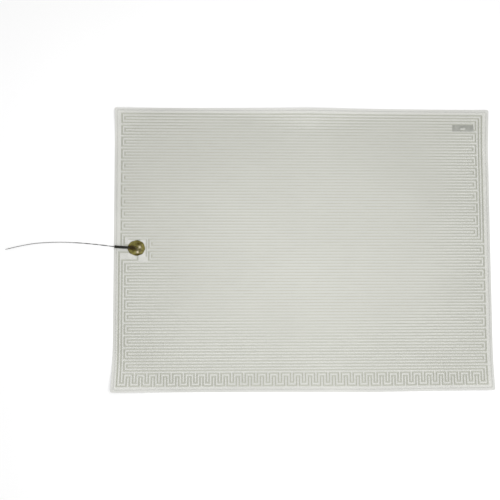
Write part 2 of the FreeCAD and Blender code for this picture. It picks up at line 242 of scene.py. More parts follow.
def store(piece: Piece, name: str, values: Array) -> None:
    """Gives the piece one number per point, under a name that its material reads."""
    attribute = piece.data.attributes.new(name, "FLOAT", "POINT")
    attribute.data.foreach_set("value", np.clip(values, 0, 1))


def bell(places: Array, x: float, y: float, reach: float) -> Array:
    """One at a point in plan and fading round it: e to the minus squared distance."""
    return np.exp(-((places[:, 0] - x) ** 2 + (places[:, 1] - y) ** 2) / reach ** 2)


def box_of(node: str) -> tuple[Array, Array]:
    """The low and the high corner of a node's box in the frame."""
    low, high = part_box(node)
    return np.array(low), np.array(high)


def middle(node: str) -> Array:
    """The middle of a node's box in the frame."""
    low, high = box_of(node)
    return (low + high) / 2


def cells_outside(columns: Array, rows: Array, window: tuple[Array, Array]) -> Array:
    """Flags a grid's cells, false inside a window.

    Args:
        columns, rows: Where the grid's lines run along X and along Y.
        window: The window's two sides along X and along Y, each on one of the lines.

    Returns:
        One flag per cell.
    """
    across, along = ((lines[:-1] > ends[0] - SAME_PLACE) & (lines[1:] < ends[1] + SAME_PLACE)
                     for lines, ends in zip((columns, rows), window))
    return ~np.outer(along, across)


def settle(piece: Piece, slot: str, *nodes: str) -> None:
    """Lets a piece ride on the mat, in place of its nodes.

    Args:
        piece: The piece.
        slot: Not used.
        nodes: The frame nodes that it replaces, if any.
    """
    if nodes:
        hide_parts(*nodes)
    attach(piece, BODY)
    log.info("%s built", piece.name)


# ---- finishes -------------------------------------------------------------------------
class Shader:
    """One Principled material, with the few node chains that the finishes share."""

    def __init__(self, name: str, roughness: float, metallic: float = 0.0) -> None:
        """Starts the material with its even values on the shader's own sockets.

        Args:
            name: The material's name.
            roughness: Its roughness.
            metallic: How far it is metal.
        """
        self.material = bpy.data.materials.new(name)
        self.material.use_nodes = True
        self.tree = self.material.node_tree
        self.base = self.tree.nodes["Principled BSDF"]
        self.place = self.tree.nodes.new("ShaderNodeTexCoord").outputs["Object"]
        self.base.inputs["Roughness"].default_value = roughness
        self.base.inputs["Metallic"].default_value = metallic

    def link(self, start: bpy.types.NodeSocket, end: bpy.types.NodeSocket) -> None:
        """Joins two sockets."""
        self.tree.links.new(start, end)

    def noise(self, grain: float, stretch: Stretch = (1.0, 1.0, 1.0),
              detail: float = 3.0) -> bpy.types.NodeSocket:
        """Adds fractal noise over the object's own coordinates.

        Args:
            grain: How many metres a grain is across, before stretching.
            stretch: How many times finer the grain is along each axis.
            detail: Octaves of finer noise.

        Returns:
            The noise, from nought to one.
        """
        mapping = self.tree.nodes.new("ShaderNodeMapping")
        mapping.inputs["Scale"].default_value = stretch
        self.link(self.place, mapping.inputs["Vector"])
        texture = self.tree.nodes.new("ShaderNodeTexNoise")
        texture.inputs["Scale"].default_value = 1 / grain
        texture.inputs["Detail"].default_value = detail
        self.link(mapping.outputs["Vector"], texture.inputs["Vector"])
        return texture.outputs["Fac"]

    def attribute(self, name: str) -> bpy.types.NodeSocket:
        """Reads a number that the mesh carries.

        Args:
            name: The attribute's name.

        Returns:
            The number.
        """
        node = self.tree.nodes.new("ShaderNodeAttribute")
        node.attribute_name = name
        return node.outputs["Fac"]

    def ramp(self, factor: bpy.types.NodeSocket, low: Colour, high: Colour,
             start: float = 0.35, end: float = 0.65) -> bpy.types.NodeSocket:
        """Adds a colour that runs from low to high as the factor goes from start to end.

        Args:
            factor: What drives the colour.
            low, high: The two end colours.
            start, end: The factor's values at the two ends.

        Returns:
            The colour.
        """
        node = self.tree.nodes.new("ShaderNodeValToRGB")
        for element, position, colour in zip(node.color_ramp.elements, (start, end),
                                             (low, high)):
            element.position = position
            element.color = (*colour, 1.0)
        self.link(factor, node.inputs["Fac"])
        return node.outputs["Color"]

    def mix(self, factor: bpy.types.NodeSocket, first: bpy.types.NodeSocket,
            second: bpy.types.NodeSocket) -> bpy.types.NodeSocket:
        """Blends two colours.

        Args:
            factor: Nought for the first colour and one for the second.
            first, second: The two colours.

        Returns:
            The blend.
        """
        node = self.tree.nodes.new("ShaderNodeMix")
        node.data_type = "RGBA"
        self.link(factor, node.inputs["Factor"])
        self.link(first, node.inputs["A"])
        self.link(second, node.inputs["B"])
        return node.outputs["Result"]

    def bump(self, height: bpy.types.NodeSocket, depth: float) -> None:
        """Roughens the surface by a height field.

        Args:
            height: The height field, from nought to one.
            depth: Metres from valley to crest.
        """
        node = self.tree.nodes.new("ShaderNodeBump")
        node.inputs["Strength"].default_value = 1.0
        node.inputs["Distance"].default_value = depth
        self.link(height, node.inputs["Height"])
        self.link(node.outputs["Normal"], self.base.inputs["Normal"])

    def vary(self, factor: bpy.types.NodeSocket, socket: str, low: float, high: float) -> None:
        """Lets one of the shader's values go from low to high with a factor.

        Args:
            factor: What drives the value, from nought to one.
            socket: The value's name on the shader.
            low, high: The two end values.
        """
        node = self.tree.nodes.new("ShaderNodeMapRange")
        node.inputs["To Min"].default_value = low
        node.inputs["To Max"].default_value = high
        self.link(factor, node.inputs["Value"])
        self.link(node.outputs["Result"], self.base.inputs[socket])

    def colour(self, socket: bpy.types.NodeSocket) -> None:
        """Gives the shader its base colour."""
        self.link(socket, self.base.inputs["Base Color"])


@dataclass(frozen=True)
class FilmFinish:
    """Milky polyester film: see-through, satin, a little cloudy, with a fine tooth."""

    name: str
    cloudy: Colour
    clear: Colour
    # the rim's colour; on the cover film, painted shade along its cut edge
    edge: Colour
    opacity: float
    rim_opacity: float
    roughness: float = 0.40
    cloud_grain: float = 95 * MM
    tooth_grain: float = 0.45 * MM
    tooth_depth: float = 0.003 * MM

    def material(self) -> bpy.types.Material:
        """Clouds in the colour, wandering gloss, a fine tooth and a darker, more opaque rim, which
        on the cover film is painted shade along its cut edge.

        Returns:
            The film's material.
        """
        shader = Shader(self.name, self.roughness)
        clouds = shader.noise(self.cloud_grain, (1.0, 1.4, 1.0), 2.0)
        rim = shader.attribute("rim")
        shader.colour(shader.mix(rim, shader.ramp(clouds, self.cloudy, self.clear, 0.3, 0.7),
                                 shader.ramp(clouds, self.edge, self.clear, 0.5, 1.0)))
        shader.vary(clouds, "Roughness", self.roughness - 0.05, self.roughness + 0.07)
        shader.vary(rim, "Alpha", self.opacity, self.rim_opacity)
        shader.bump(shader.noise(self.tooth_grain), self.tooth_depth)
        return shader.material


@dataclass(frozen=True)
class FoilFinish:
    """Rolled and etched resistance foil: dull, with a grain along X, darker where a track
    runs across that grain."""

    level: Colour = (0.406, 0.411, 0.358)
    upright: Colour = (0.325, 0.33, 0.28)
    mottle: float = 0.015
    roughness: float = 0.5
    metallic: float = 0.15
    grain: float = 1.1 * MM
    stretch: Stretch = (0.06, 1.0, 1.0)
    streak_depth: float = 0.001 * MM

    def material(self) -> bpy.types.Material:
        """Streaks along the rolling direction, and the tone of each track's direction.

        Returns:
            The foil's material.
        """
        shader = Shader("etched_foil", self.roughness, self.metallic)
        streaks = shader.noise(self.grain, self.stretch)
        tones = [shader.ramp(streaks, tuple(part - self.mottle for part in tone),
                             tuple(part + self.mottle for part in tone))
                 for tone in (self.level, self.upright)]
        shader.colour(shader.mix(shader.attribute("upright"), *tones))
        shader.bump(streaks, self.streak_depth)
        return shader.material


@dataclass(frozen=True)
class ResinFinish:
    """Amber potting resin, painted darker round the joints as painted shade and over the sleeve's
    end, and thin over the joints' tops.
    """

    name: str
    clean: Colour
    cloudy: Colour
    # colour of the painted darkening: painted shade round the joints, darker over the sleeve's end
    darkened: Colour
    opacity: float
    thin_opacity: float
    roughness: float
    ripple: float
    specular: float = 0.16
    swirl_grain: float = 3.4 * MM

    def material(self) -> bpy.types.Material:
        """Amber that follows the painted darkening and a swirl, with a slightly rippled surface.

        Returns:
            The resin's material.
        """
        shader = Shader(self.name, self.roughness)
        swirl = shader.noise(self.swirl_grain, (1.0, 1.3, 1.0), 2.0)
        clean = shader.ramp(swirl, self.cloudy, self.clean, 0.40, 0.58)
        # painted shade round the joints and a darker tone over the sleeve's end
        darkened = shader.ramp(swirl, self.darkened, self.cloudy, 0.58, 0.95)
        shader.colour(shader.mix(shader.attribute("darkening"), clean, darkened))
        shader.vary(shader.attribute("thin"), "Alpha", self.opacity, self.thin_opacity)
        shader.bump(swirl, self.ripple)
        shader.base.inputs["Specular IOR Level"].default_value = self.specular
        return shader.material


@dataclass(frozen=True)
class GrainFinish:
    """A plain moulded or drawn finish: two near tones, a grain and a fine bump."""

    name: str
    dark: Colour
    light: Colour
    roughness: float
    grain: float
    depth: float
    metallic: float = 0.0
    stretch: Stretch = (1.0, 1.0, 1.0)
    specular: float = 0.5

    def material(self) -> bpy.types.Material:
        """Tone, gloss and bump all follow the same grain.

        Returns:
            The material.
        """
        shader = Shader(self.name, self.roughness, self.metallic)
        grain = shader.noise(self.grain, self.stretch)
        shader.colour(shader.ramp(grain, self.dark, self.light))
        shader.vary(grain, "Roughness", self.roughness - 0.06, self.roughness + 0.08)
        shader.bump(grain, self.depth)
        shader.base.inputs["Specular IOR Level"].default_value = self.specular
        return shader.material


# The cover film's edge colour and rim opacity are painted shade along its cut edge.
COVER_FILM = FilmFinish("cover_film_polyester", (0.46, 0.47, 0.42), (0.54, 0.55, 0.50),
                        (0.42, 0.42, 0.39), 0.04, 0.13)
BASE_FILM = FilmFinish("base_film_polyester", (0.735, 0.735, 0.695), (0.785, 0.785, 0.745),
                       (0.62, 0.62, 0.59), 0.60, 0.80)
# The third colour of each resin is its painted darkening: painted shade round the joints, a darker
# tone over the sleeve's end.
RESIN = ResinFinish("amber_resin", (0.24, 0.21, 0.055), (0.11, 0.09, 0.018),
                    (0.044, 0.027, 0.003), 0.56, 0.02, 0.16, 0.10 * MM)
RESIN_BED = ResinFinish("resin_bed", (0.34, 0.31, 0.11), (0.12, 0.10, 0.02),
                        (0.040, 0.026, 0.003), 1.0, 1.0, 0.5, 0.16 * MM)
HEAT_SHRINK = GrainFinish("heat_shrink_black", (0.008, 0.008, 0.006), (0.018, 0.018, 0.014),
                          0.55, 0.8 * MM, 0.02 * MM, stretch=(0.2, 1.0, 1.0), specular=0.2)
HOT_MELT = GrainFinish("hot_melt", (0.05, 0.035, 0.012), (0.10, 0.075, 0.03), 0.35,
                       0.6 * MM, 0.02 * MM)
INSULATION = GrainFinish("wire_insulation_black", (0.008, 0.008, 0.008),
                         (0.022, 0.021, 0.020), 0.45, 1.4 * MM, 0.004 * MM, specular=0.25)
SOLDER = GrainFinish("bright_solder", (0.50, 0.43, 0.28), (0.72, 0.64, 0.44), 0.34,
                     0.7 * MM, 0.03 * MM, 0.3)
TINNED = GrainFinish("tinned_copper", (0.10, 0.09, 0.08), (0.20, 0.19, 0.17), 0.42,
                     0.12 * MM, 0.006 * MM, 0.6)
PRINT = GrainFinish("grey_print", (0.245, 0.25, 0.225), (0.315, 0.32, 0.29), 0.6,
                    6.5 * MM, 0.003 * MM)


# ---- the laid shape of the mat ---------------------------------------------------------
@dataclass(frozen=True)
class Curl:
    """A stretch of film that stands off the floor, steeper towards its high point."""

    x: float
    y: float
    height: float
    reach_x: float
    reach_y: float
    splay: tuple[float, float] = (0.0, 0.0)

    def share(self, x: Array, y: Array) -> Array:
        """One minus the distances in reaches, not under nought, squared: a rolled corner.

        Args:
            x, y: Plan positions.

        Returns:
            The share of the curl's height at each position.
        """
        return np.clip(1 - np.abs(x - self.x) / self.reach_x
                       - np.abs(y - self.y) / self.reach_y, 0, 1) ** 2


@dataclass
class LaidShape:
    """How the loose film lies: four curled corners, two rippled long edges and very slow
    waves between them, flat at the terminal."""

    half_length: float
    half_width: float
    still: Array
    still_reach: float = 50 * MM
    wave: float = 0.10 * MM
    wave_length: float = 118 * MM
    wave_phase: float = 0.7
    cross_stretch: float = 1.3
    curls: tuple[Curl, ...] = field(init=False)

    def __post_init__(self) -> None:
        """Places the curls on the film's own corners and long edges."""
        right, top = self.half_length, self.half_width
        self.curls = (
            Curl(-right, -top, 9.5 * MM, 74 * MM, 52 * MM, (-1.0 * MM, 1.5 * MM)),
            Curl(right, -top, 4.6 * MM, 90 * MM, 56 * MM, (0.2 * MM, 0.8 * MM)),
            Curl(-right, top, 3.4 * MM, 58 * MM, 40 * MM, (-0.1 * MM, -0.9 * MM)),
            Curl(right, top, 2.2 * MM, 60 * MM, 60 * MM, (0.9 * MM, -0.6 * MM)),
            Curl(6 * MM, top, 4.5 * MM, 150 * MM, 24 * MM),
            Curl(70 * MM, -top, 1.2 * MM, 190 * MM, 34 * MM, (0.0, -0.9 * MM)),
        )

    def lay(self, piece: Piece) -> None:
        """Moves the points of a flat piece onto the laid shape: each is lifted by the curls
        and the waves, and a curled corner is drawn in or splayed a little.

        Args:
            piece: The piece, built flat.
        """
        places = points_of(piece)
        x, y = places[:, 0].copy(), places[:, 1].copy()
        slow = np.sin(2 * math.pi * x / self.wave_length + self.wave_phase)
        slow = slow * np.cos(2 * math.pi * y / (self.cross_stretch * self.wave_length))
        lift = self.wave * (1 + slow)
        for curl in self.curls:
            share = curl.share(x, y)
            lift = lift + curl.height * share
            places[:, :2] += share[:, None] * curl.splay
        distance = np.hypot(x - self.still[0], y - self.still[1])
        places[:, 2] += lift * (1 - np.exp(-(distance / self.still_reach) ** 4))
        piece.data.vertices.foreach_set("co", places.ravel())
        piece.data.update()


@dataclass
class FilmSheet:
    """One film of the laminate, with its adhesive: cut corners and perhaps a window."""

    name: str
    nodes: tuple[str, ...]
    finish: FilmFinish
    shape: LaidShape
    low: float
    high: float
    window: tuple[Array, Array] | None = None
    corner_radius: float = 2 * MM
    cell: float = 2.2 * MM
    least_gap: float = 0.88 * MM
    rim: float = 0.9 * MM
    rim_fade: float = 0.5

    def lines(self, low: float, high: float, cuts: Array) -> Array:
        """Grid lines from edge to edge, close together at the rims and set on the cuts.

        Args:
            low, high: The sheet's two edges.
            cuts: Where a line has to run.

        Returns:
            The lines' places, in order.
        """
        steps = np.linspace(0, 1, 6) ** 2 * self.corner_radius
        count = round((high - low) / self.cell)
        inside = np.linspace(low + self.corner_radius, high - self.corner_radius, count)
        if len(cuts):
            clear = np.abs(inside[:, None] - cuts[None]).min(axis=1) > self.least_gap
            inside = inside[clear]
        return np.unique(np.concatenate([low + steps, inside, high - steps, cuts]))

    def build(self) -> None:
        """Makes the sheet: a grid whose rows shorten near a corner by the corner's arc,
        with the window's cells left out, then laid on the laid shape."""
        low, high = box_of(self.nodes[-1])
        cuts = self.window or (np.array([]), np.array([]))
        columns, rows = (self.lines(low[axis], high[axis], cuts[axis]) for axis in (0, 1))
        into_corner = np.clip(self.corner_radius - np.minimum(rows - low[1], high[1] - rows),
                              0, self.corner_radius)
        cut_back = self.corner_radius - np.sqrt(self.corner_radius ** 2 - into_corner ** 2)
        half = (high[0] - low[0]) / 2
        x = np.outer((half - cut_back) / half, columns - (low[0] + half)) + low[0] + half
        y = np.repeat(rows[:, None], len(columns), 1)
        kept = (cells_outside(columns, rows, self.window) if self.window
                else np.ones((len(rows) - 1, len(columns) - 1), bool))
        mesh = slab(x, y, np.full_like(x, self.low), np.full_like(x, self.high), kept)
        piece = make_piece(self.name, mesh, self.finish.material())
        places = points_of(piece)[:, :2]
        inward = np.minimum(places - low[:2], high[:2] - places).min(axis=1)
        # The rim carries the darker edge colour: painted shade along the cover film's cut edge.
        store(piece, "rim", (1 - inward / self.rim) / self.rim_fade)
        self.shape.lay(piece)
        settle(piece, "polyester_film", *self.nodes)


# ---- the heating track -----------------------------------------------------------------
@dataclass
class HeatingTrack:
    """The etched foil: a pair of tracks side by side, folded all over the mat.

    Columns count to the right and rows count down, one pitch apart. The pair's own middle
    line runs halfway between grid lines, and each track lies half a pitch to its side. The
    two clearances are from the window's right side, in column pitches: to the turns beside
    it and to the guard track.
    """

    shape: LaidShape
    window_side: float
    finish: FoilFinish = FoilFinish()
    row_pitch: float = 3.19 * MM
    column_pitch: float = 3.15 * MM
    width: float = 1.6 * MM
    guard_width: float = 1.0 * MM
    pad_gap: float = 0.9 * MM
    pad_rise: float = 0.004 * MM
    upper_inset: float = 2.1 * MM
    window_foot: float = 3.6 * MM
    turn_clearance: float = 1.6
    guard_clearance: float = 0.25
    step: float = 2.6 * MM
    band_stroke: int = 3
    band_gap: int = 2

    def __post_init__(self) -> None:
        """Reads the grid's counts and place from the foil's box."""
        self.low, self.high = box_of("heating_foil")
        span = self.high - self.low - self.width
        self.last_column = round(float(span[0]) / self.column_pitch)
        self.last_row = round(float(span[1]) / self.row_pitch)
        self.pair_rows = (self.last_row + 1 - self.band_stroke - self.band_gap) // 2
        self.upper_rows = self.pair_rows // 2 + (self.pair_rows // 2 + 1) % 2
        self.seam_row = 2 * self.upper_rows
        self.upper_joint = middle("upper_solder_joint")[:2]
        self.lower_joint = middle("lower_solder_joint")[:2]
        self.terminal = middle("potting_dome")[:2]

    def column(self, number: float) -> float:
        """The place of a column along X."""
        return float(self.low[0]) + self.width / 2 + number * self.column_pitch

    def row(self, number: float) -> float:
        """The place of a row along Y."""
        return float(self.high[1]) - self.width / 2 - number * self.row_pitch

    def centreline(self) -> Array:
        """The pair's middle line: down the left edge, along the band's square wave, up the
        lower half in level runs, up the right edge and down the upper half.

        Returns:
            The line's corners in plan.
        """
        bottom = self.last_row - 0.5
        line = [(0.5, self.seam_row + self.band_gap), (0.5, bottom)]
        for crenel in range((self.last_column - 3) // 4):
            rise, fall = 4 * crenel + 2.5, 4 * crenel + 4.5
            top = bottom - self.band_stroke
            line += [(rise, bottom), (rise, top), (fall, top), (fall, bottom)]
        right = self.last_column - 0.5
        line.append((right, bottom))
        lowest = bottom - self.band_stroke - self.band_gap
        lower_rows = self.pair_rows - self.upper_rows
        beside_window = 2 * math.ceil((self.window_side / self.row_pitch + 1.5) / 4)
        past_window = (self.terminal[0] + self.window_side / 2 - self.column(0)
                       ) / self.column_pitch + self.turn_clearance
        for turn in range(0, lower_rows, 2):
            left = past_window if lower_rows - turn <= beside_window else 2.5
            level = lowest - 2 * turn
            line += [(right, level), (left, level), (left, level - 2), (right, level - 2)]
        line.append((right, 0.5))
        left = 0.5 + self.upper_inset / self.column_pitch
        for turn in range(0, self.upper_rows - 1, 2):
            level = 0.5 + 2 * turn
            line += [(left, level), (left, level + 2),
                     (self.last_column - 2.5, level + 2), (self.last_column - 2.5, level + 4)]
        line += [(left, self.seam_row - 1.5), (left, self.seam_row + 1)]
        grid = np.array(line)
        return np.stack([self.column(0) + grid[:, 0] * self.column_pitch,
                         self.row(0) - grid[:, 1] * self.row_pitch], -1)

    @staticmethod
    def shifted(line: Array, across: float, level: float) -> Array:
        """Moves a square-cornered line to its left, each corner by the sum of its two
        sides' moves.

        Args:
            line: The line's corners in plan.
            across: How far its upright sides move.
            level: How far its level sides move.

        Returns:
            The moved corners.
        """
        along = np.sign(np.round(np.diff(line, axis=0), 9))
        moves = np.stack([-along[:, 1] * across, along[:, 0] * level], -1)
        padded = np.concatenate([np.zeros((1, 2)), moves, np.zeros((1, 2))])
        return line + padded[:-1] + padded[1:]

    def strip(self, line: Array, width: float, rise: float = 0.0) -> Mesh:
        """Carries a flat strip's four-cornered section along a line: its two sides are the
        line shifted by half the width, mitred at the corners and cut into short steps.

        Args:
            line: The strip's middle line.
            width: The strip's width.
            rise: How far it stands above the foil's own top.

        Returns:
            The closed strip.
        """
        steps = np.ceil(np.linalg.norm(np.diff(line, axis=0), axis=1) / self.step).astype(int)
        walked = np.concatenate([[0], np.cumsum(steps)])
        even = np.arange(walked[-1] + 1)
        left, right = (np.stack([np.interp(even, walked, side[:, axis]) for axis in (0, 1)], -1)
                       for side in (self.shifted(line, width / 2, width / 2),
                                    self.shifted(line, -width / 2, -width / 2)))
        plan = np.stack([right, left, left, right], 1)
        low, high = float(self.low[2]), float(self.high[2]) + rise
        height = np.broadcast_to([low, low, high, high], plan.shape[:2])[..., None]
        vertices = np.concatenate([plan, height], -1).reshape(-1, 3)
        return vertices, [ring_faces(len(plan), 4)[:, ::-1], np.array([[0, 1, 2, 3]]),
                          np.array([[3, 2, 1, 0]]) + 4 * (len(plan) - 1)]

    def lines(self) -> tuple[Array, Array]:
        """Both tracks' middle lines, from solder joint to solder joint.

        Returns:
            The inner and the outer track's corners in plan.
        """
        middle_line = self.centreline()
        across, level = self.column_pitch / 2, self.row_pitch / 2
        inner = self.shifted(middle_line, across, level)
        outer = self.shifted(middle_line, -across, -level)
        foot = self.terminal[1] - self.window_side / 2 - self.window_foot
        lower, upper, home = self.lower_joint, self.upper_joint, self.terminal[1]
        inner[0, 1], outer[0, 1] = foot, lower[1]
        inner[-1, 1], outer[-1, 1] = home + self.row_pitch, home
        inner = np.concatenate([[lower, (lower[0], foot)], inner, [(upper[0], inner[-1, 1])]])
        outer = np.concatenate([[lower], outer, [(upper[0], home)]])
        return inner, outer

    def build(self) -> None:
        """Makes the foil as one piece and marks its upright runs."""
        inner, outer = self.lines()
        half = self.window_side / 2
        x, y = self.terminal
        guard_x = x + half + self.guard_clearance * self.column_pitch
        guard = np.array([(x - half, y + half), (guard_x, y + half), (guard_x, y - half)])
        feed = np.array([self.upper_joint, (self.upper_joint[0], y + half)])
        pad = self.upper_joint[1] - self.lower_joint[1] - self.pad_gap
        pads = [np.array([joint - (pad / 2, 0), joint + (pad / 2, 0)])
                for joint in (self.upper_joint, self.lower_joint)]
        mesh = joined([self.strip(inner, self.width), self.strip(outer, self.width),
                       self.strip(guard, self.guard_width), self.strip(feed, self.guard_width),
                       *(self.strip(line, pad, self.pad_rise) for line in pads)])
        piece = make_piece("etched_heating_track", mesh, self.finish.material())
        self.mark_upright_runs(piece)
        self.shape.lay(piece)
        settle(piece, "resistance_foil", "heating_foil")

    @staticmethod
    def mark_upright_runs(piece: Piece) -> None:
        """Stores, face by face, how far a face lies along Y rather than along X.

        Args:
            piece: The foil, still flat and all of quads.
        """
        data = piece.data
        loops = np.empty(len(data.loops), int)
        data.loops.foreach_get("vertex_index", loops)
        owners = np.repeat(np.arange(len(data.polygons)), 4)
        places = points_of(piece)[loops]
        reach = [np.maximum.reduceat(places[:, axis], np.arange(0, len(loops), 4))
                 - np.minimum.reduceat(places[:, axis], np.arange(0, len(loops), 4))
                 for axis in (0, 1)]
        share = reach[1] ** 2 / (reach[0] ** 2 + reach[1] ** 2 + 1e-12)
        attribute = data.attributes.new("upright", "FLOAT", "CORNER")
        attribute.data.foreach_set("value", share[owners])


@dataclass
class RatingPatch:
    """The printed patch, left blank: a grey block with a paler box left open in it."""

    shape: LaidShape
    cell: float = 0.7 * MM
    box_width: float = 5.2 * MM
    box_low: float = 0.15
    box_high: float = 0.52

    def build(self) -> None:
        """Makes the patch as a thin grid on the laid shape, its box's cells left out."""
        low, high = box_of("rating_patch")
        centre = float(low[0] + high[0]) / 2
        sides = np.array([centre - self.box_width / 2, centre + self.box_width / 2])
        ends = low[1] + np.array([self.box_low, self.box_high]) * (high[1] - low[1])
        columns = np.unique(np.concatenate([np.arange(low[0], high[0], self.cell),
                                            sides, high[:1]]))
        rows = np.unique(np.concatenate([np.arange(low[1], high[1], self.cell),
                                         ends, high[1:2]]))
        x, y = np.meshgrid(columns, rows)
        kept = cells_outside(columns, rows, (sides, ends))
        mesh = slab(x, y, np.full_like(x, low[2]), np.full_like(x, high[2]), kept)
        piece = make_piece("blank_rating_patch", mesh, PRINT.material())
        self.shape.lay(piece)
        settle(piece, "printed_grey", "rating_patch")


# ---- the terminal ----------------------------------------------------------------------
@dataclass(frozen=True)
class Spot:
    """A round spot on the resin, placed from a solder joint and fading outwards."""

    joint: str
    x: float
    y: float
    reach: float
    strength: float

    def at(self, places: Array) -> Array:
        """How strong the spot is at each point."""
        joint = middle(self.joint)
        return self.strength * bell(places, joint[0] + self.x, joint[1] + self.y, self.reach)


# Where the resin is thin: over both joints and over a stretch of bright pad.
THIN = (
    Spot("upper_solder_joint", 0.0, 0.0, 1.9 * MM, 1.4),
    Spot("lower_solder_joint", 0.0, 0.0, 1.7 * MM, 1.4),
    Spot("lower_solder_joint", 3.4 * MM, 0.2 * MM, 1.3 * MM, 0.7),
)
# Where it is painted darker: painted shade round the joints, and a darker tone over the sleeve's
# end.
DARKENED = (
    Spot("upper_solder_joint", 0.2 * MM, -2.7 * MM, 1.8 * MM, 1.1),
    Spot("upper_solder_joint", -0.8 * MM, 3.2 * MM, 2.2 * MM, 0.9),
    Spot("upper_solder_joint", -9.2 * MM, -0.4 * MM, 2.3 * MM, 1.2),
    Spot("upper_solder_joint", -6.6 * MM, -0.9 * MM, 2.3 * MM, 1.2),
    Spot("upper_solder_joint", -3.9 * MM, -1.0 * MM, 1.8 * MM, 0.9),
    Spot("lower_solder_joint", 1.4 * MM, -3.0 * MM, 1.7 * MM, 0.9),
)


